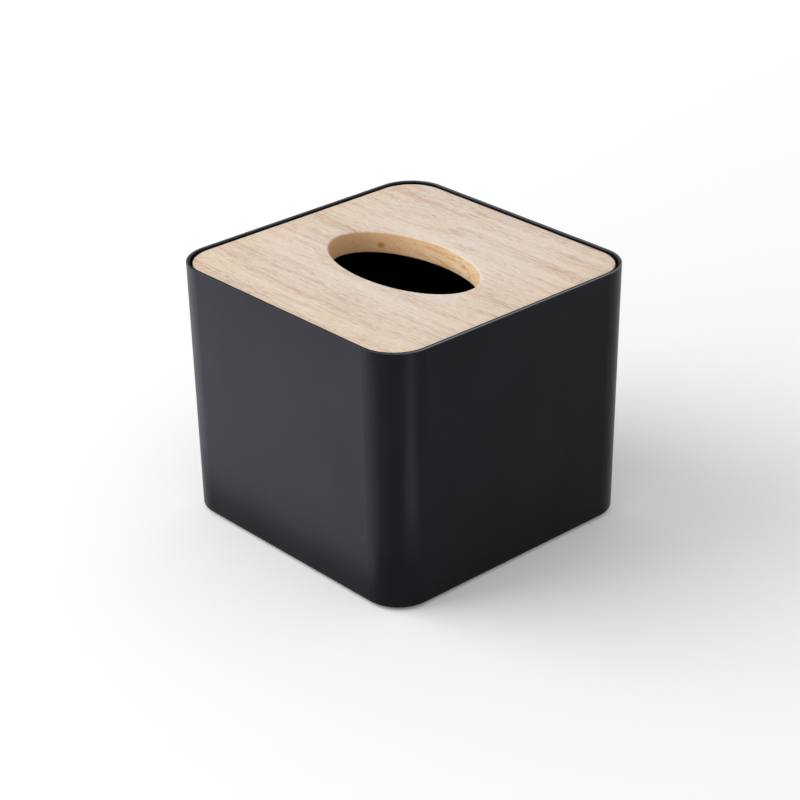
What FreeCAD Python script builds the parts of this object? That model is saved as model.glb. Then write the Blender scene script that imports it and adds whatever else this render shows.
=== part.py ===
"""Square tissue box: a moulded plastic box, a drop-in wooden lid with an oval opening, and anti-slip pads.

Sizes are millimetres. The origin is the centre of the footprint, on the table. +Z is up, and +X runs along
the oval opening's long axis, which is also the way the wood's grain runs. The front is -Y.
"""

import FreeCAD
import Part

import math
import os

# Driving dimensions of the moulded box
BODY_WIDTH = 140.0  # outside, across the flats at the rim
RIM_HEIGHT = 117.0  # table to the top of the rim
CORNER_RADIUS = 18.0  # outside, at the rim
DRAFT_ANGLE = 0.9  # degrees; the box narrows downwards so that it leaves its mould
RIM_WALL = 1.5  # wall around the lid
SIDE_WALL = 2.4  # wall below the lid's seat
FLOOR_THICKNESS = 2.4
FLOOR_FILLET = 4.0  # inside, where the walls meet the floor
RIM_OUTER_RADIUS = 0.35
RIM_INNER_CHAMFER = 0.25

# Underside of the box: a plain border around a shallow recess, which keeps the middle off the table
BASE_EDGE_RADIUS = 1.4
BASE_BORDER = 8.0
BASE_RECESS = 0.6

# Ribs inside the box: they run from the floor up to the seat, and the lid rests on their tops
RIB_THICKNESS = 2.0
RIB_DEPTH = 3.6  # how far a rib stands in from the wall
RIB_SPACING = 70.0  # between the two ribs of one wall
RIB_ROOT = 0.8  # how far a rib reaches into the wall and the floor that carry it

# Driving dimensions of the wooden lid
LID_THICKNESS = 10.0
LID_RECESS = 0.8  # top of the lid below the top of the rim
LID_GAP = 0.8  # lid to rim, along the flats
LID_CORNER_RADIUS = 16.8
LID_EDGE_RADIUS = 0.5  # eased edge around the top face
LID_UNDER_CHAMFER = 0.6
OPENING_LENGTH = 80.0  # along X
OPENING_WIDTH = 46.0
OPENING_CHAMFER = 1.2  # eased edges of the opening, above and below

# Driving dimensions of the anti-slip pads
PAD_DIAMETER = 12.0
PAD_THICKNESS = 2.0
PAD_PROUD = 1.0  # how far a pad stands out below the box
PAD_CLEARANCE = 0.15  # pad to the side of its pocket
PAD_CHAMFER = 0.5
PAD_INSET = 20.0  # pad centre to the flats of the base

# Heights and widths that follow from the sizes above
BASE_Z = PAD_PROUD
FLOOR_Z = BASE_Z + FLOOR_THICKNESS
SEAT_Z = RIM_HEIGHT - LID_RECESS - LID_THICKNESS
LID_TOP_Z = SEAT_Z + LID_THICKNESS
LID_WIDTH = BODY_WIDTH - 2 * (RIM_WALL + LID_GAP)
DRAFT_SLOPE = math.tan(math.radians(DRAFT_ANGLE))
BASE_HALF_WIDTH = BODY_WIDTH / 2 - (RIM_HEIGHT - BASE_Z) * DRAFT_SLOPE
PAD_OFFSET = BASE_HALF_WIDTH - PAD_INSET

UP = FreeCAD.Vector(0, 0, 1)
CUT_MARGIN = 1.0  # how far a cutting tool runs past the face that it opens
TOLERANCE = 1e-4


def rounded_square(half_width, radius, z):
    """Closed outline of four straight sides and four quarter arcs, centred on the Z axis."""
    straight = half_width - radius
    bulge = straight + radius * math.sqrt(0.5)
    side_start = FreeCAD.Vector(half_width, -straight, 0)
    side_end = FreeCAD.Vector(half_width, straight, 0)
    arc_middle = FreeCAD.Vector(bulge, bulge, 0)
    arc_end = FreeCAD.Vector(straight, half_width, 0)
    edges = []
    for turn in range(4):
        place = FreeCAD.Placement(FreeCAD.Vector(0, 0, z), FreeCAD.Rotation(UP, 90 * turn)).multVec
        edges.append(Part.LineSegment(place(side_start), place(side_end)).toShape())
        edges.append(Part.Arc(place(side_end), place(arc_middle), place(arc_end)).toShape())
    return Part.Wire(edges)


def drafted_block(inset, z_low, z_high):
    """The box's outside form between two heights, taken in by inset on every side."""
    sections = []
    for z in (z_low, z_high):
        narrowing = inset + (RIM_HEIGHT - z) * DRAFT_SLOPE
        sections.append(rounded_square(BODY_WIDTH / 2 - narrowing, CORNER_RADIUS - narrowing, z))
    return Part.makeLoft(sections, True, True)


def edges_at(shape, z):
    """Edges that lie in the horizontal plane at height z."""
    level = []
    for edge in shape.Edges:
        if abs(edge.BoundBox.ZMin - z) < TOLERANCE and abs(edge.BoundBox.ZMax - z) < TOLERANCE:
            level.append(edge)
    return level


def on_outside(edge):
    """Whether an edge at the rim belongs to the box's outside outline."""
    end = edge.Vertexes[0].Point
    return max(abs(end.x), abs(end.y)) > BODY_WIDTH / 2 - TOLERANCE


def is_oval(edge):
    """Whether an edge runs around the lid's opening."""
    return isinstance(edge.Curve, Part.Ellipse)


def pad_centres():
    """Name and place of each pad, one near each corner of the base."""
    centres = {}
    for depth_name, y_side in (("front", -1), ("rear", 1)):
        for width_name, x_side in (("left", -1), ("right", 1)):
            centre = FreeCAD.Vector(x_side * PAD_OFFSET, y_side * PAD_OFFSET, 0)
            centres[f"foot_pad_{depth_name}_{width_name}"] = centre
    return centres


def seat_ribs():
    """Upright ribs that carry the lid. Each slab across the box leaves one rib on each of two facing walls."""
    rooted = drafted_block(SIDE_WALL - RIB_ROOT, FLOOR_Z - RIB_ROOT, SEAT_Z)
    clear_space = drafted_block(SIDE_WALL + RIB_DEPTH, FLOOR_Z - RIB_ROOT - CUT_MARGIN, SEAT_Z + CUT_MARGIN)
    ring = rooted.cut(clear_space)
    ribs = []
    for side in (-1, 1):
        offset = side * RIB_SPACING / 2 - RIB_THICKNESS / 2
        along_x = FreeCAD.Vector(-BODY_WIDTH / 2, offset, 0)
        along_y = FreeCAD.Vector(offset, -BODY_WIDTH / 2, 0)
        ribs.append(ring.common(Part.makeBox(BODY_WIDTH, RIB_THICKNESS, RIM_HEIGHT, along_x)))
        ribs.append(ring.common(Part.makeBox(RIB_THICKNESS, BODY_WIDTH, RIM_HEIGHT, along_y)))
    return ribs


def outside_form():
    """The solid outside of the box, with its underside's rounded edge, recess and pad pockets."""
    block = drafted_block(0, BASE_Z, RIM_HEIGHT)
    block = block.makeFillet(BASE_EDGE_RADIUS, edges_at(block, BASE_Z))
    recess = drafted_block(BASE_BORDER, BASE_Z - CUT_MARGIN, BASE_Z + BASE_RECESS)
    pocket_radius = PAD_DIAMETER / 2 + PAD_CLEARANCE
    pockets = [Part.makeCylinder(pocket_radius, PAD_THICKNESS, centre) for centre in pad_centres().values()]
    return block.cut([recess] + pockets)


def box_shell():
    """The moulded box: outside form, hollow inside, rebate for the lid, rounded rim and the ribs."""
    rebate = drafted_block(RIM_WALL, SEAT_Z, RIM_HEIGHT + CUT_MARGIN)
    hollow = drafted_block(SIDE_WALL, FLOOR_Z, SEAT_Z + CUT_MARGIN)
    hollow = hollow.makeFillet(FLOOR_FILLET, edges_at(hollow, FLOOR_Z))
    shell = outside_form().cut([rebate, hollow])
    inner_rim = [edge for edge in edges_at(shell, RIM_HEIGHT) if not on_outside(edge)]
    shell = shell.makeChamfer(RIM_INNER_CHAMFER, inner_rim)
    outer_rim = [edge for edge in edges_at(shell, RIM_HEIGHT) if on_outside(edge)]
    shell = shell.makeFillet(RIM_OUTER_RADIUS, outer_rim)
    return shell.fuse(seat_ribs()).removeSplitter()


def wooden_lid():
    """A flat board with rounded corners, eased edges and an oval opening cut straight through."""
    outline = rounded_square(LID_WIDTH / 2, LID_CORNER_RADIUS, SEAT_Z)
    oval = Part.Ellipse(FreeCAD.Vector(0, 0, SEAT_Z), OPENING_LENGTH / 2, OPENING_WIDTH / 2)
    face = Part.makeFace([outline, Part.Wire(oval.toShape())], "Part::FaceMakerBullseye")
    board = face.extrude(UP * LID_THICKNESS)
    top_outline = [edge for edge in edges_at(board, LID_TOP_Z) if not is_oval(edge)]
    board = board.makeFillet(LID_EDGE_RADIUS, top_outline)
    under_outline = [edge for edge in edges_at(board, SEAT_Z) if not is_oval(edge)]
    board = board.makeChamfer(LID_UNDER_CHAMFER, under_outline)
    return board.makeChamfer(OPENING_CHAMFER, [edge for edge in board.Edges if is_oval(edge)])


def foot_pad(centre):
    """A round pad that fills its pocket and stands on the table."""
    pad = Part.makeCylinder(PAD_DIAMETER / 2, PAD_THICKNESS, centre)
    return pad.makeChamfer(PAD_CHAMFER, edges_at(pad, 0))


def build():
    """Every piece of the box, by name."""
    pieces = {"box_shell": box_shell(), "wooden_lid": wooden_lid()}
    for name, centre in pad_centres().items():
        pieces[name] = foot_pad(centre)
    return pieces


def main():
    os.makedirs("parts", exist_ok=True)
    for name, shape in build().items():
        if not shape.isValid() or len(shape.Solids) != 1:
            raise ValueError(f"{name} is not one valid solid")
        shape.exportStep(f"parts/{name}.step")
        print(f"{name}: {len(shape.Faces)} faces, {shape.Volume / 1000:.1f} cubic centimetres")


main()
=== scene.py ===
# %% [markdown]
# # A tissue box with a wooden lid
#
# The object is a square moulded box in satin black plastic, closed by a pale wooden board that drops into
# the rim. Tissues come out of an oval opening in the board. The construction model gives every piece its
# size and place, so the first step is to load it as a fixed frame. Everything below is in metres, in that
# same frame, apart from the patterns of the materials, which are in millimetres.

import math

import bpy
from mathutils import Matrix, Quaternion, Vector


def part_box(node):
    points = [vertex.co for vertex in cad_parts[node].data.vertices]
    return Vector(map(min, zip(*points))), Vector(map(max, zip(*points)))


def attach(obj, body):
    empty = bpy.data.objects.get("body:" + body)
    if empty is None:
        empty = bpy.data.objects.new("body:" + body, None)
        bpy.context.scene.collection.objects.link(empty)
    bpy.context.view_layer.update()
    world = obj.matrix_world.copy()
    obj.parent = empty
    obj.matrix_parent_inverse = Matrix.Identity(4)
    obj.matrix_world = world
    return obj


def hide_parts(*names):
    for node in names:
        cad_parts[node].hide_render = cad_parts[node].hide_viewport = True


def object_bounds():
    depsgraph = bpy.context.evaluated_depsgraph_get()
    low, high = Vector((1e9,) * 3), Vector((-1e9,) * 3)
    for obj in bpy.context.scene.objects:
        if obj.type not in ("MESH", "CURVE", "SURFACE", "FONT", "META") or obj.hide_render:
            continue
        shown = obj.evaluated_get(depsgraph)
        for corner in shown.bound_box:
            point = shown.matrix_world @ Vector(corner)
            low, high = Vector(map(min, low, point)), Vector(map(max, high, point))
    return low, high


MM = 0.001

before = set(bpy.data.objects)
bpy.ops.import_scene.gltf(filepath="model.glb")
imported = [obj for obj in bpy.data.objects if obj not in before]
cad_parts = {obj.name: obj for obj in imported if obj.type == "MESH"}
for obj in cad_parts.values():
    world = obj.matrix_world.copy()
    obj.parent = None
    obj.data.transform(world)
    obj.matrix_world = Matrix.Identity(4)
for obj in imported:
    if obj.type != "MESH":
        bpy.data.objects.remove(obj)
cad_low, cad_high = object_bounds()
print("pieces in the frame:", sorted(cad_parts))
print("box of the construction model, mm:", [round(side / MM, 1) for side in cad_high - cad_low])

# %% [markdown]
# ## The camera
#
# The photograph looks down at the front corner with a long lens. Its place was found by matching the edges
# of the box and of the lid to the picture, which also showed that the picture is turned by a little under a
# degree. The camera is set by an angle around the box, a height angle and a distance, as a photographer
# would describe it. The point that it aims at lies slightly off the middle of the box.

# %% Camera
CAMERA_AZIMUTH = math.radians(47.88)
CAMERA_ELEVATION = math.radians(26.26)
CAMERA_DISTANCE = 1.0139
CAMERA_ROLL = math.radians(-0.88)
LENS_LENGTH = 106.0  # for a sensor 36 wide, both in millimetres
SENSOR_WIDTH = 36.0
NEAR_CLIP = 0.05
AIM_HEIGHT = 59 * MM
AIM_RIGHT = -2.24 * MM
AIM_UP = -6.89 * MM

level = math.cos(CAMERA_ELEVATION)
towards_camera = Vector((
    math.sin(CAMERA_AZIMUTH) * level,
    -math.cos(CAMERA_AZIMUTH) * level,
    math.sin(CAMERA_ELEVATION),
))
middle = Vector((0, 0, AIM_HEIGHT))
picture_right = Vector((0, 0, 1)).cross(towards_camera).normalized()
picture_up = towards_camera.cross(picture_right)
aim = middle + picture_right * AIM_RIGHT + picture_up * AIM_UP

camera_data = bpy.data.cameras.new("camera")
camera_data.lens = LENS_LENGTH
camera_data.sensor_width = SENSOR_WIDTH
camera_data.clip_start = NEAR_CLIP
camera = bpy.data.objects.new("camera", camera_data)
bpy.context.scene.collection.objects.link(camera)
camera.location = middle + towards_camera * CAMERA_DISTANCE
camera.rotation_mode = "QUATERNION"
looking = (aim - camera.location).to_track_quat("-Z", "Y")
camera.rotation_quaternion = looking @ Quaternion((0, 0, 1), CAMERA_ROLL)
bpy.context.scene.camera = camera
print("camera at, mm:", [round(value / MM) for value in camera.location])

# %% [markdown]
# ## Helpers for materials
#
# A procedural material is a small network of nodes. Adding a node always takes the same three steps: make
# it, set its options, and feed its inputs with plain values or with the outputs of other nodes. One helper
# does all three, and a few more on top of it name the sums that come up often. A finish then reads like a
# recipe instead of a list of sockets.

# %% Node helpers
def add_node(tree, kind, options=None, inputs=None):
    """Add a shader node, set its options, and feed each input with a value or another node's output."""
    made = tree.nodes.new(kind)
    for name, value in (options or {}).items():
        setattr(made, name, value)
    for name, value in (inputs or {}).items():
        if isinstance(value, bpy.types.NodeSocket):
            tree.links.new(value, made.inputs[name])
        else:
            made.inputs[name].default_value = value
    return made


def new_material(name):
    """A new material, its tree of nodes, and its Principled shader."""
    material = bpy.data.materials.new(name)
    material.use_nodes = True
    tree = material.node_tree
    return material, tree, tree.nodes["Principled BSDF"]


def math_node(tree, operation, first, second=0.0):
    """One sum on one or two values."""
    return add_node(tree, "ShaderNodeMath", {"operation": operation}, {0: first, 1: second}).outputs[0]


def product(tree, *factors):
    """All the factors multiplied together."""
    result = factors[0]
    for factor in factors[1:]:
        result = math_node(tree, "MULTIPLY", result, factor)
    return result


def vector_math(tree, operation, first, second=(0, 0, 0)):
    """One sum on one or two vectors. LENGTH gives a value, and the other operations give a vector."""
    made = add_node(tree, "ShaderNodeVectorMath", {"operation": operation}, {0: first, 1: second})
    return made.outputs["Value" if operation == "LENGTH" else "Vector"]


def along_axes(tree, vector):
    """The X, Y and Z parts of a vector."""
    return add_node(tree, "ShaderNodeSeparateXYZ", None, {"Vector": vector}).outputs


print("node helpers ready")

# %% [markdown]
# Patterns work in millimetres, because wood pores and moulded texture are easier to think of at that size.
# They read the object's own coordinates, so they stay on the piece when it moves. A noise rarely reaches 0
# or 1, so `spread` stretches the range that it does use.

# %% Pattern helpers
NOISE_LOW = 0.3  # most values of a noise lie between these two
NOISE_HIGH = 0.7


def millimetres(tree, scale=(1, 1, 1), place=(0, 0, 0)):
    """The piece's own coordinates in millimetres. A small scale makes a long pattern."""
    return add_node(tree, "ShaderNodeMapping", None, {
        "Vector": add_node(tree, "ShaderNodeTexCoord").outputs["Object"],
        "Location": place,
        "Scale": [value / MM for value in scale],
    }).outputs["Vector"]


def noise(tree, coordinates, detail, roughness=0.5):
    """Soft random values around one half, with one blob for every unit of the coordinates."""
    return add_node(tree, "ShaderNodeTexNoise", None, {
        "Vector": coordinates,
        "Scale": 1.0,
        "Detail": detail,
        "Roughness": roughness,
    }).outputs["Fac"]


def remap(tree, value, low, high, to_low=0.0, to_high=1.0):
    """Stretch the values between low and high over a new range, and clamp the rest."""
    return add_node(tree, "ShaderNodeMapRange", {"clamp": True}, {
        "Value": value,
        "From Min": low,
        "From Max": high,
        "To Min": to_low,
        "To Max": to_high,
    }).outputs["Result"]


def spread(tree, pattern, to_low=0.0, to_high=1.0):
    """Stretch the usual values of a noise over a new range."""
    return remap(tree, pattern, NOISE_LOW, NOISE_HIGH, to_low, to_high)


def mix_colour(tree, amount, first, second, blend="MIX"):
    """Blend two colours by an amount from 0 to 1. For colours the node uses inputs 6 and 7 and output 2."""
    return add_node(tree, "ShaderNodeMix", {"data_type": "RGBA", "blend_type": blend}, {
        0: amount,
        6: first,
        7: second,
    }).outputs[2]


def colour_steps(tree, value, dark, medium, pale):
    """A ramp through three colours, each given with the value at which it stands."""
    made = add_node(tree, "ShaderNodeValToRGB", None, {"Fac": value})
    for element, (position, colour) in zip(made.color_ramp.elements, (dark, pale)):
        element.position = position
        element.color = colour
    position, colour = medium
    made.color_ramp.elements.new(position).color = colour
    return made.outputs["Color"]


def bump(tree, height, distance):
    """Shade the surface as if height lifted it by up to distance."""
    return add_node(tree, "ShaderNodeBump", None, {"Distance": distance, "Height": height}).outputs["Normal"]


print("pattern helpers ready")

# %% [markdown]
# ## The wooden lid
#
# The lid is one flat board, 10 mm thick, with rounded corners and an oval cut straight through. The easy way
# would be a block with a boolean cut, but that leaves long thin triangles that shade badly around the oval.
# Instead two outlines are drawn in one mesh: a square with beveled corners, and an oval with the same number
# of points. Bridging them gives an even ring of four-sided faces, which is then extruded to the board's
# thickness. Last, the edges are eased by a bevel, as sandpaper does: a little on the outside, more around
# the opening.

# %% Lid outlines
LID_CORNER_RADIUS = 16.8 * MM
CORNER_STEPS = 16
SIDE_CUTS = 11
CLOSE = 0.01 * MM
lid_low, lid_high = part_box("wooden_lid")
lid_half = (lid_high.x - lid_low.x) / 2
lid_thickness = lid_high.z - lid_low.z


def select_edges(piece, wanted):
    """In edit mode, select the edges whose two ends both pass the test."""
    bpy.ops.mesh.select_mode(type="EDGE")
    bpy.ops.mesh.select_all(action="DESELECT")
    bpy.ops.object.mode_set(mode="OBJECT")
    points = piece.data.vertices
    for edge in piece.data.edges:
        edge.select = all(wanted(points[index].co) for index in edge.vertices)
    bpy.ops.object.mode_set(mode="EDIT")


bpy.ops.object.select_all(action="DESELECT")
bpy.ops.mesh.primitive_plane_add(size=2 * lid_half, location=(0, 0, lid_low.z))
lid = bpy.context.object
lid.name = "lid_board"
bpy.ops.object.transform_apply(location=True, rotation=True, scale=True)
bpy.ops.object.mode_set(mode="EDIT")
bpy.ops.mesh.select_all(action="SELECT")
bpy.ops.mesh.bevel(
    affect="VERTICES",
    offset_type="OFFSET",
    offset=LID_CORNER_RADIUS,
    segments=CORNER_STEPS,
)
for axis in (0, 1):
    for side in (-lid_half, lid_half):
        select_edges(lid, lambda point: abs(point[axis] - side) < CLOSE)
        bpy.ops.mesh.subdivide(number_cuts=SIDE_CUTS)
bpy.ops.mesh.select_all(action="SELECT")
bpy.ops.mesh.delete(type="ONLY_FACE")
bpy.ops.object.mode_set(mode="OBJECT")
outline_points = len(lid.data.vertices)
print("lid outline:", outline_points, "points")

# %% Lid board
OPENING_HALF_LENGTH = 40 * MM
OPENING_HALF_WIDTH = 23 * MM
RING_CUTS = 7
lid_centre_below = (0, 0, lid_low.z)
oval_narrowing = OPENING_HALF_WIDTH / OPENING_HALF_LENGTH

bpy.ops.object.mode_set(mode="EDIT")
bpy.ops.mesh.select_all(action="DESELECT")
bpy.ops.mesh.primitive_circle_add(
    vertices=outline_points,
    radius=OPENING_HALF_LENGTH,
    location=lid_centre_below,
)
bpy.ops.transform.resize(value=(1, oval_narrowing, 1), center_override=lid_centre_below)
bpy.ops.mesh.select_all(action="SELECT")
bpy.ops.mesh.bridge_edge_loops(number_cuts=RING_CUTS, interpolation="LINEAR")
bpy.ops.mesh.select_all(action="SELECT")
bpy.ops.mesh.extrude_region_move(TRANSFORM_OT_translate={"value": (0, 0, lid_thickness)})
bpy.ops.mesh.select_all(action="SELECT")
bpy.ops.mesh.normals_make_consistent(inside=False)
bpy.ops.object.mode_set(mode="OBJECT")
print("lid board:", len(lid.data.polygons), "faces")

# %% Lid edges
OUTLINE_EASE = 0.5 * MM
OPENING_EASE = 0.9 * MM
EASE_STEPS = 5
OVAL_CLOSE = 0.00001  # as a share of the oval's size
SMOOTH_ANGLE = math.radians(35)


def around_opening(point):
    """Whether a point of the board lies on the oval."""
    return math.hypot(point.x / OPENING_HALF_LENGTH, point.y / OPENING_HALF_WIDTH) < 1 + OVAL_CLOSE


def on_outline(point):
    """Whether a point of the board lies on its rounded square outline."""
    inner = lid_half - LID_CORNER_RADIUS
    beyond_x = max(abs(point.x) - inner, 0)
    beyond_y = max(abs(point.y) - inner, 0)
    return abs(math.hypot(beyond_x, beyond_y) - LID_CORNER_RADIUS) < CLOSE


bpy.ops.object.mode_set(mode="EDIT")
for height in (lid_low.z, lid_high.z):
    select_edges(lid, lambda point: abs(point.z - height) < CLOSE and on_outline(point))
    bpy.ops.mesh.bevel(offset_type="OFFSET", offset=OUTLINE_EASE, segments=EASE_STEPS)
    select_edges(lid, lambda point: abs(point.z - height) < CLOSE and around_opening(point))
    bpy.ops.mesh.bevel(offset_type="OFFSET", offset=OPENING_EASE, segments=EASE_STEPS)
bpy.ops.object.mode_set(mode="OBJECT")
bpy.ops.object.shade_smooth_by_angle(angle=SMOOTH_ANGLE)
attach(lid, "lid")
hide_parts("wooden_lid")
print("finished lid:", len(lid.data.polygons), "faces")

# %% [markdown]
# ## The wood
#
# The board is a pale, open-pored hardwood with its grain along the opening. Real wood is a solid pattern:
# the same fibres that run as streaks along the top show as dots where the oval cuts across them. So the
# pattern is built in three dimensions and stretched along X, and the cut faces follow by themselves. A slow
# noise bends the grain first, so that no line is ruler straight. Each layer is shifted to another part of
# the noise, so that the layers don't repeat each other.

# %% Wood grain
GRAIN_BEND = 5.0  # how far the grain wanders sideways, in millimetres
BEND_SCALE = (0.011, 0.03, 0.03)  # bends in a millimetre, along each axis
BROAD_BANDS = (120, 8)  # length and width of a layer's streaks, in millimetres
STREAKS = (45, 1.6)
FIBRES = (11, 0.5)
DASHES = (3.4, 0.42)
PORES = (5, 0.4)
PORE_ZONES = (40, 9)
TINTS = (12, 2.4)

pale_wood, wood, wood_shader = new_material("pale_wood")
on_board = millimetres(wood)
slow_bend = noise(wood, millimetres(wood, BEND_SCALE), detail=1)
bend = add_node(wood, "ShaderNodeCombineXYZ", None, {
    "Y": remap(wood, slow_bend, 0, 1, -GRAIN_BEND, GRAIN_BEND),
    "Z": remap(wood, slow_bend, 0, 1, GRAIN_BEND, -GRAIN_BEND),
}).outputs["Vector"]
bent = vector_math(wood, "ADD", on_board, bend)


def grain_layer(size, shift, detail, roughness=0.5):
    """Noise along the bent grain, in streaks of about this length and width."""
    length, width = size
    drawn_out = add_node(wood, "ShaderNodeMapping", None, {
        "Vector": bent,
        "Scale": (1 / length, 1 / width, 1 / width),
        "Location": shift,
    }).outputs["Vector"]
    return noise(wood, drawn_out, detail, roughness)


broad = grain_layer(BROAD_BANDS, (0, 0, 0), detail=3)
streaks = grain_layer(STREAKS, (7, 3, 1), detail=4, roughness=0.6)
fibres = grain_layer(FIBRES, (3, 9, 5), detail=4, roughness=0.65)
dashes = grain_layer(DASHES, (2, 6, 4), detail=2, roughness=0.55)
pore_noise = grain_layer(PORES, (1, 4, 8), detail=2)
pore_zones = grain_layer(PORE_ZONES, (5, 2, 6), detail=1)
tints = grain_layer(TINTS, (8, 1, 3), detail=3, roughness=0.6)
print("noises in the grain:", sum(item.type == "TEX_NOISE" for item in wood.nodes))

# %% [markdown]
# Four layers are added up to one tone and coloured by a ramp, from light brown to pinkish beige. Patches of
# peach lie over it. Oil has turned the wood a little yellower towards the two ends and the front edge, in
# some bands more than in others. Multiplying by a pale yellow does that and keeps the grain. Pores are only
# the peaks of their noise, so they come out as short dark dashes, crowded in some zones.

# %% Wood colours
WOOD_DARK = (0.57, 0.39, 0.28, 1)
WOOD_MIDDLE = (0.745, 0.625, 0.525, 1)
WOOD_PALE = (0.83, 0.73, 0.64, 1)
WOOD_STEPS = ((0.42, WOOD_DARK), (0.49, WOOD_MIDDLE), (0.565, WOOD_PALE))
LAYER_SHARES = ((broad, 0.24), (streaks, 0.24), (fibres, 0.26), (dashes, 0.26))
WOOD_PEACH = (0.82, 0.645, 0.485, 1)
PEACH_PEAKS = (0.42, 0.66)  # tints from the first value up turn peach, and fully at the second
PEACH_AMOUNT = 0.6
WOOD_OIL = (1.0, 0.95, 0.84, 1)
OIL_REACH = (38, 68)  # from the middle of the board, where the oil starts and where it is full
OIL_BANDS = (0.35, 0.6)
OIL_AMOUNTS = (0.3, 0.85)
WOOD_PORE = (0.46, 0.25, 0.155, 1)
PORE_PEAKS = (0.6, 0.72)
CROWDED_ZONES = (0.4, 0.6)
FEWEST_PORES = 0.25
PORE_AMOUNT = 0.6

tone = 0.0
for layer, share in LAYER_SHARES:
    tone = math_node(wood, "ADD", product(wood, layer, share), tone)
across = along_axes(wood, on_board)
towards_end = math_node(wood, "ABSOLUTE", across["X"])
towards_front = product(wood, across["Y"], -1.0)
towards_edge = math_node(wood, "MAXIMUM", towards_end, towards_front)
oil = product(wood, remap(wood, towards_edge, *OIL_REACH), remap(wood, broad, *OIL_BANDS, *OIL_AMOUNTS))
crowding = remap(wood, pore_zones, *CROWDED_ZONES, FEWEST_PORES, 1)
pores = product(wood, remap(wood, pore_noise, *PORE_PEAKS), crowding)
peach = remap(wood, tints, *PEACH_PEAKS, 0, PEACH_AMOUNT)
wood_colour = mix_colour(wood, peach, colour_steps(wood, tone, *WOOD_STEPS), WOOD_PEACH)
wood_colour = mix_colour(wood, oil, wood_colour, WOOD_OIL, blend="MULTIPLY")
wood_colour = mix_colour(wood, product(wood, pores, PORE_AMOUNT), wood_colour, WOOD_PORE)
print("wood tones mixed from", len(LAYER_SHARES), "layers")

# %% [markdown]
# The board has two darker flecks: one near the right corner and one on the wall of the opening. A fleck is
# the distance from its place, measured in stretched millimetres so that it comes out longer along the
# grain. Adding some of the grain to that distance frays its edge.

# %% Wood flecks
WOOD_KNOT = (0.56, 0.21, 0.055, 1)
FLECK_EDGE = (0.5, 1.2)  # where a fleck starts to fade and where it ends, in shares of its size
FLECK_FRAY = 0.3
CORNER_FLECK = (50.3, 39.5, lid_high.z / MM)
CORNER_FLECK_SIZE = (5, 0.9)
CORNER_FLECK_AMOUNT = 0.45
WALL_FLECK_DEPTH = 6  # down from the top of the board
WALL_FLECK = (-30.6, 14.8, lid_high.z / MM - WALL_FLECK_DEPTH)
WALL_FLECK_SIZE = (2, 1.5)
WALL_FLECK_AMOUNT = 0.75


def fleck(place, size, amount):
    """A soft spot on the board, with its place, length and width in millimetres."""
    length, width = size
    from_place = vector_math(wood, "SUBTRACT", on_board, place)
    drawn_out = vector_math(wood, "MULTIPLY", from_place, (1 / length, 1 / width, 1 / width))
    frayed = spread(wood, dashes, -FLECK_FRAY, FLECK_FRAY)
    distance = math_node(wood, "ADD", vector_math(wood, "LENGTH", drawn_out), frayed)
    return remap(wood, distance, *FLECK_EDGE, amount, 0)


corner_fleck = fleck(CORNER_FLECK, CORNER_FLECK_SIZE, CORNER_FLECK_AMOUNT)
wall_fleck = fleck(WALL_FLECK, WALL_FLECK_SIZE, WALL_FLECK_AMOUNT)
wood_colour = mix_colour(wood, corner_fleck, wood_colour, WOOD_KNOT)
print("flecks at, mm:", CORNER_FLECK, WALL_FLECK)

# %% [markdown]
# The wall of the oval was cut by a router and soaked up more finish than the sanded top, so it is honey
# brown, with streaks that stand out more to the right. Its left end is painted a darker, redder tan, as
# painted shade. Two masks find the wall: one reads the direction that the surface faces, and one measures
# how far out a point lies in ovals instead of circles. The board's outer edges keep the colour of the top,
# apart from the two ends, where the cut fibres show as darker end grain.

# %% Wood cut faces
WOOD_AMBER = (0.80, 0.43, 0.175, 1)
WOOD_HONEY = (0.97, 0.69, 0.40, 1)
WOOD_CREAM = (0.97, 0.80, 0.56, 1)
CUT_STEPS = ((0.42, WOOD_AMBER), (0.5, WOOD_HONEY), (0.58, WOOD_CREAM))
CUT_SHARE = 0.5  # of the streaks and of the fibres in the tone of a cut face
CUT_FACING = (0.15, 0.75)  # how much a face may look up and still count as cut
WALL_REACH = (1.3, 1.6)  # where the wall's colour ends, in squares of the oval's size
WALL_PORE_AMOUNT = 0.4
WOOD_SHADED_TAN = (0.95, 0.58, 0.30, 1)
SHADED_END_REACH = (-28, 4)  # along X, where the painted shade of the left end gives way to the wall's streaks, and where they are full
STREAKY_LEAST = 0.2
WOOD_END = (0.56, 0.40, 0.265, 1)
END_FACING = (0.5, 0.95)
END_AMOUNT = 0.7

facing = along_axes(wood, add_node(wood, "ShaderNodeTexCoord").outputs["Normal"])
is_cut = remap(wood, math_node(wood, "ABSOLUTE", facing["Z"]), *CUT_FACING, 1, 0)
faces_end = remap(wood, math_node(wood, "ABSOLUTE", facing["X"]), *END_FACING)
oval_x = math_node(wood, "DIVIDE", across["X"], OPENING_HALF_LENGTH / MM)
oval_y = math_node(wood, "DIVIDE", across["Y"], OPENING_HALF_WIDTH / MM)
oval_square = math_node(wood, "ADD", product(wood, oval_x, oval_x), product(wood, oval_y, oval_y))
on_wall = product(wood, is_cut, remap(wood, oval_square, *WALL_REACH, 1, 0))
on_end = product(wood, is_cut, faces_end, END_AMOUNT)
cut_tone = math_node(wood, "ADD", product(wood, streaks, CUT_SHARE), product(wood, fibres, CUT_SHARE))
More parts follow.
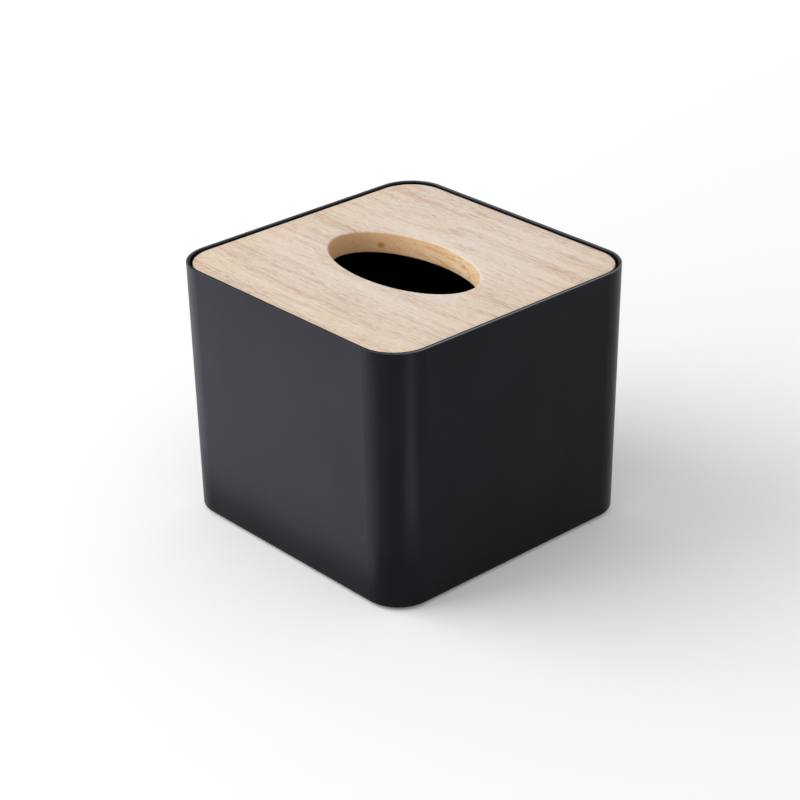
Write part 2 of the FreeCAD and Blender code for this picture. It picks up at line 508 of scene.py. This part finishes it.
# Painted shade: the left end of the wall is a darker, redder tan, and the streaks take over towards the
# right.
streaky_and_lit = remap(wood, across["X"], *SHADED_END_REACH, STREAKY_LEAST, 1)
wall_colour = mix_colour(wood, streaky_and_lit, WOOD_SHADED_TAN, colour_steps(wood, cut_tone, *CUT_STEPS))
wall_colour = mix_colour(wood, product(wood, pores, WALL_PORE_AMOUNT), wall_colour, WOOD_AMBER)
wall_colour = mix_colour(wood, wall_fleck, wall_colour, WOOD_KNOT)
wood_colour = mix_colour(wood, on_end, wood_colour, WOOD_END)
wood_colour = mix_colour(wood, on_wall, wood_colour, wall_colour)
wood.links.new(wood_colour, wood_shader.inputs["Base Color"])
print("oval for the wall's mask, mm:", OPENING_HALF_LENGTH / MM, "by", OPENING_HALF_WIDTH / MM)

# %% [markdown]
# Roughness and relief follow the same fibres as the colour, so the grain catches the light where it is
# drawn. The pores sink in and the fibres stand up a little, both by less than a tenth of a millimetre, which
# is too fine to model as faces.

# %% Wood surface
WOOD_ROUGHNESS = (0.6, 0.48)  # between the fibres and on them
WOOD_SPECULAR = 0.35
PORE_DEPTH = 0.06 * MM
FIBRE_HEIGHT = 0.4  # as a share of a pore's depth

relief = math_node(wood, "SUBTRACT", product(wood, fibres, FIBRE_HEIGHT), pores)
wood.links.new(spread(wood, fibres, *WOOD_ROUGHNESS), wood_shader.inputs["Roughness"])
wood.links.new(bump(wood, relief, PORE_DEPTH), wood_shader.inputs["Normal"])
wood_shader.inputs["Specular IOR Level"].default_value = WOOD_SPECULAR
lid.data.materials.append(pale_wood)
print("wood nodes:", len(wood.nodes))

# %% [markdown]
# ## The moulded plastic
#
# The box is injection moulded in black polypropylene. Its mould was etched, so the skin is satin: it blurs
# what it mirrors and breaks it up with a fine texture. Slow changes of roughness, from handling and from the
# way the plastic cooled, keep the large faces from looking like a computer's flat black.

# %% Plastic skin
PLASTIC_BLACK = (0.0050, 0.0050, 0.0070, 1)
PLASTIC_GREY = (0.0080, 0.0080, 0.0110, 1)
PLASTIC_SHEEN = (0.84, 0.85, 1.0, 1)
PLASTIC_SPECULAR = 0.09
SATIN_ROUGHNESS = (0.3, 0.36)
CLOUD_SCALE = (0.03, 0.03, 0.02)  # blobs in a millimetre, along each axis
HANDLING_SCALE = (0.12, 0.12, 0.1)
HANDLING_SHIFT = (4, 1, 7)
ETCHING_SCALE = (5, 5, 5)
ETCHING_DEPTH = 0.012 * MM

black_plastic, plastic, plastic_shader = new_material("black_plastic")
clouds = noise(plastic, millimetres(plastic, CLOUD_SCALE), detail=3)
handling = noise(plastic, millimetres(plastic, HANDLING_SCALE, HANDLING_SHIFT), detail=4, roughness=0.6)
etching = noise(plastic, millimetres(plastic, ETCHING_SCALE), detail=2, roughness=0.6)
skin_colour = mix_colour(plastic, spread(plastic, clouds), PLASTIC_BLACK, PLASTIC_GREY)
satin = spread(plastic, handling, *SATIN_ROUGHNESS)
plastic.links.new(bump(plastic, etching, ETCHING_DEPTH), plastic_shader.inputs["Normal"])
plastic_shader.inputs["Specular IOR Level"].default_value = PLASTIC_SPECULAR
plastic_shader.inputs["Specular Tint"].default_value = PLASTIC_SHEEN
print("etched skin, relief in mm:", ETCHING_DEPTH / MM)

# %% [markdown]
# The rim is only 1.5 mm wide and shows as a grey line with a black one beside the wood. Both are painted
# into its colour, the grey as a painted highlight and the black as painted shade. To paint them, the
# material has to know where on the rim a point lies. Folding the box onto one corner by absolute values, and
# measuring from the middle of that corner's curve, gives the distance in from the outside. It is right
# along the straight sides and around the corners alike.

# %% Rim places
RIM_CORNER_RADIUS = 18.0
RIM_BAND = 0.5  # how far the painted highlight and the painted shade reach down
REAR_FADE = 20.0  # how gradually the painted highlight of the rear and left sides goes over into that of the other two

shell_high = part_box("box_shell")[1] / MM
corner_centre = shell_high.x - RIM_CORNER_RADIUS
on_shell = millimetres(plastic)
along_shell = along_axes(plastic, on_shell)
folded = vector_math(plastic, "ABSOLUTE", on_shell)
beyond = vector_math(plastic, "SUBTRACT", folded, (corner_centre, corner_centre, shell_high.z))
beyond = vector_math(plastic, "MAXIMUM", beyond, (0, 0, 0))
out_from_centre = vector_math(plastic, "LENGTH", beyond)
in_from_outside = math_node(plastic, "SUBTRACT", RIM_CORNER_RADIUS, out_from_centre)
at_rim = remap(plastic, along_shell["Z"], shell_high.z - RIM_BAND, shell_high.z)
towards_rear = math_node(plastic, "SUBTRACT", along_shell["Y"], along_shell["X"])
at_rear = remap(plastic, towards_rear, -REAR_FADE, REAR_FADE)
print("top of the rim, mm:", round(shell_high.z, 2))

# %% [markdown]
# Three painted marks meet here. The outer edge carries a painted highlight, strongest along the right side.
# The inner half has lost its sheen at the front and on the right, and is darkened there as painted shade of
# the gap beside the lid. At the rear and on the left the whole top is a little paler, as a painted
# highlight.
# The dull half is made by roughness and a darker colour, and the shine itself stays one plain number on the
# shader, because the exported model drops a shine that comes from other nodes.

# %% Rim finish: painted highlights and painted shade
PLASTIC_RIM_HIGHLIGHT = (0.22, 0.23, 0.26, 1)
PLASTIC_REAR_HIGHLIGHT = (0.052, 0.055, 0.064, 1)
PLASTIC_GAP_SHADE = (0.001, 0.001, 0.001, 1)
LINE_TO_SHADE_EDGE = (0.5, 0.62)  # in from the outside, where the painted highlight ends and the dull half with painted shade begins
REAR_HIGHLIGHT_EDGE = (0, 0.25)
REAR_HIGHLIGHT_DEPTH = (0.5, 0.25)  # down from the top, where the painted highlight ends and where it is full
FRONT_EDGE_HIGHLIGHT = 0.12  # how much of the painted highlight on the edge is left along the front
REAR_EDGE_HIGHLIGHT = 0.2

outer_line = remap(plastic, in_from_outside, *LINE_TO_SHADE_EDGE, 1, 0)
inner_half = remap(plastic, in_from_outside, *LINE_TO_SHADE_EDGE)
at_front = math_node(plastic, "SUBTRACT", 1.0, at_rear)
edge_highlight_strength = remap(plastic, along_shell["Y"], -shell_high.y, -corner_centre, FRONT_EDGE_HIGHLIGHT, 1)
edge_highlight_strength = product(plastic, edge_highlight_strength, remap(plastic, at_rear, 0, 1, 1, REAR_EDGE_HIGHLIGHT))
# Painted highlight: the rim's outer edge is lightened in colour, most of all along the right side.
painted_edge_highlight = product(plastic, at_rim, outer_line, edge_highlight_strength)
# Painted shade: the inner half at the front and on the right is darkened in colour for the gap beside the
# lid, and made rougher.
dull_and_gap_shade = product(plastic, at_rim, inner_half, at_front)
# Painted highlight: the top of the rim at the rear and on the left is made paler in colour.
rear_highlight_from, rear_highlight_full = [shell_high.z - depth for depth in REAR_HIGHLIGHT_DEPTH]
near_top = remap(plastic, along_shell["Z"], rear_highlight_from, rear_highlight_full)
painted_rear_highlight = product(plastic, near_top, remap(plastic, in_from_outside, *REAR_HIGHLIGHT_EDGE), at_rear)
plastic_colour = mix_colour(plastic, painted_rear_highlight, skin_colour, PLASTIC_REAR_HIGHLIGHT)
plastic_colour = mix_colour(plastic, painted_edge_highlight, plastic_colour, PLASTIC_RIM_HIGHLIGHT)
plastic_colour = mix_colour(plastic, dull_and_gap_shade, plastic_colour, PLASTIC_GAP_SHADE)
plastic.links.new(plastic_colour, plastic_shader.inputs["Base Color"])
plastic.links.new(math_node(plastic, "MAXIMUM", satin, dull_and_gap_shade), plastic_shader.inputs["Roughness"])
print("plastic nodes:", len(plastic.nodes))

# %% [markdown]
# ## The foot pads
#
# The four pads under the base are cut from dark foam rubber. They only show from below, but a box that is
# turned over should still look right: the foam is dull, and its cells show as tiny pits.

# %% Rubber
RUBBER_DARK = (0.035, 0.035, 0.038, 1)
RUBBER_WORN = (0.07, 0.07, 0.074, 1)
RUBBER_ROUGHNESS = (0.75, 0.9)
RUBBER_SPECULAR = 0.25
WEAR_SCALE = (0.4, 0.4, 0.4)  # blobs in a millimetre, along each axis
WEAR_PEAKS = (0.35, 0.7)
CELL_SCALE = (3, 3, 3)
CELL_DEPTH = 0.08 * MM

pad_rubber, rubber, rubber_shader = new_material("pad_rubber")
wear = noise(rubber, millimetres(rubber, WEAR_SCALE), detail=4)
rubber_colour = mix_colour(rubber, remap(rubber, wear, *WEAR_PEAKS), RUBBER_DARK, RUBBER_WORN)
cells = add_node(rubber, "ShaderNodeTexVoronoi", None, {
    "Vector": millimetres(rubber, CELL_SCALE),
    "Scale": 1.0,
}).outputs["Distance"]
rubber.links.new(rubber_colour, rubber_shader.inputs["Base Color"])
rubber.links.new(spread(rubber, wear, *RUBBER_ROUGHNESS), rubber_shader.inputs["Roughness"])
rubber.links.new(bump(rubber, cells, CELL_DEPTH), rubber_shader.inputs["Normal"])
rubber_shader.inputs["Specular IOR Level"].default_value = RUBBER_SPECULAR
print("rubber nodes:", len(rubber.nodes))

# %% [markdown]
# The box and the pads are shown as the construction model gives them, so they only need their finishes. A
# construction node comes with its own material slots, and the finish goes into each of them.

# %% Finishes on the construction pieces
def give_finish(node, material):
    """Put one material in every slot of a construction node."""
    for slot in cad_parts[node].material_slots:
        slot.material = material


give_finish("box_shell", black_plastic)
pad_names = [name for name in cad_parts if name.startswith("foot_pad")]
for name in pad_names:
    give_finish(name, pad_rubber)
print("finished pads:", len(pad_names))

# %% [markdown]
# ## The floor and the backdrop
#
# The photograph has a white background. A floor that is lit at a plain level is a little darker than white,
# and darker still in the distance. More light would bleach the wood, so the floor adds a faint glow of its
# own instead, stronger far from the box. Only the camera and mirroring or clear surfaces see that glow. It
# casts no light, so the wood keeps its colour and the box its shadow. The world behind works in the same
# way: it is white to look at, and its light is weaker.

# %% Floor and world
FLOOR_SIZE = 12.0
FLOOR_COLOUR = (0.96, 0.96, 0.96, 1)
FLOOR_ROUGHNESS = 0.9
FLOOR_SPECULAR = 0.1
GLOW_REACH = (0.2, 1.6)  # from the middle of the box, where the glow starts to grow and where it is full
GLOW_AMOUNTS = (0.1, 0.42)
AMBIENT = 0.6
WHITE = (1, 1, 1, 1)


def seen_directly(tree):
    """1 for rays from the camera, a mirroring or a clear surface, and 0 for rays that light things."""
    path = add_node(tree, "ShaderNodeLightPath").outputs
    seen = math_node(tree, "MAXIMUM", path["Is Camera Ray"], path["Is Glossy Ray"])
    return math_node(tree, "MAXIMUM", seen, path["Is Transmission Ray"])


bpy.ops.object.select_all(action="DESELECT")
bpy.ops.mesh.primitive_plane_add(size=FLOOR_SIZE, location=(0, 0, cad_low.z))
floor = bpy.context.object
floor.name = "floor"
floor_paint, paint, paint_shader = new_material("floor_paint")
on_floor = add_node(paint, "ShaderNodeTexCoord").outputs["Object"]
glow = remap(paint, vector_math(paint, "LENGTH", on_floor), *GLOW_REACH, *GLOW_AMOUNTS)
paint_shader.inputs["Base Color"].default_value = FLOOR_COLOUR
paint_shader.inputs["Roughness"].default_value = FLOOR_ROUGHNESS
paint_shader.inputs["Specular IOR Level"].default_value = FLOOR_SPECULAR
paint_shader.inputs["Emission Color"].default_value = WHITE
paint.links.new(product(paint, glow, seen_directly(paint)), paint_shader.inputs["Emission Strength"])
floor.data.materials.append(floor_paint)

world = bpy.data.worlds.new("studio")
world.use_nodes = True
bpy.context.scene.world = world
sky = world.node_tree
background = sky.nodes["Background"]
background.inputs["Color"].default_value = WHITE
sky.links.new(remap(sky, seen_directly(sky), 0, 1, AMBIENT, 1), background.inputs["Strength"])
print("floor at", round(cad_low.z / MM, 2), "mm")

# %% [markdown]
# ## The light
#
# One large soft light stands at the front left. It gives the wood its tone, but not the plastic: satin black
# shows little more than what it mirrors. Seen from above, an upright face mirrors the floor close by. In the
# photograph the left face mirrors something bright and the right face doesn't, which is why one is grey and
# the other almost black. Cards that lie on the floor give the same picture: a broad one for the left face,
# and two narrow ones for the streaks along the front corner. The camera doesn't see the lights themselves.

# %% Lights
KEY_PLACE = (-0.95, -1.0, 0.95)
KEY_SIZE = (1.6, 1.6)
KEY_POWER = 21.5
CARD_HEIGHT = 1 * MM
CARD_COLOUR = (0.87, 0.90, 1.0)
FACE_CARD_PLACE = (-0.142, -0.192, CARD_HEIGHT)
FACE_CARD_SIZE = (0.376, 0.216)
FACE_CARD_TURN = 0.0
FACE_CARD_POWER = 0.39
NEAR_CARD_PLACE = (-0.075, -0.248, CARD_HEIGHT)
NEAR_CARD_SIZE = (0.24, 0.07)
NEAR_CARD_TURN = math.radians(54)
NEAR_CARD_POWER = 0.15
FAR_CARD_PLACE = (0.27, -0.072, CARD_HEIGHT)
FAR_CARD_SIZE = (0.28, 0.06)
FAR_CARD_TURN = math.radians(-4)
FAR_CARD_POWER = 0.18


def area_light(name, place, size, power):
    """A rectangular light, facing down, that the camera itself doesn't see."""
    data = bpy.data.lights.new(name, "AREA")
    data.shape = "RECTANGLE"
    data.size, data.size_y = size
    data.energy = power
    light = bpy.data.objects.new(name, data)
    bpy.context.scene.collection.objects.link(light)
    light.location = place
    light.visible_camera = False
    return light


def low_card(name, place, size, turn, power):
    """A bright card that lies on the floor and faces up."""
    light = area_light(name, place, size, power)
    light.rotation_euler = (math.pi, 0, turn)
    light.data.color = CARD_COLOUR


key_light = area_light("key_light", KEY_PLACE, KEY_SIZE, KEY_POWER)
key_light.rotation_euler = (middle - key_light.location).to_track_quat("-Z", "Y").to_euler()
low_card("face_card", FACE_CARD_PLACE, FACE_CARD_SIZE, FACE_CARD_TURN, FACE_CARD_POWER)
low_card("near_card", NEAR_CARD_PLACE, NEAR_CARD_SIZE, NEAR_CARD_TURN, NEAR_CARD_POWER)
low_card("far_card", FAR_CARD_PLACE, FAR_CARD_SIZE, FAR_CARD_TURN, FAR_CARD_POWER)
bpy.context.scene.view_settings.view_transform = "Standard"
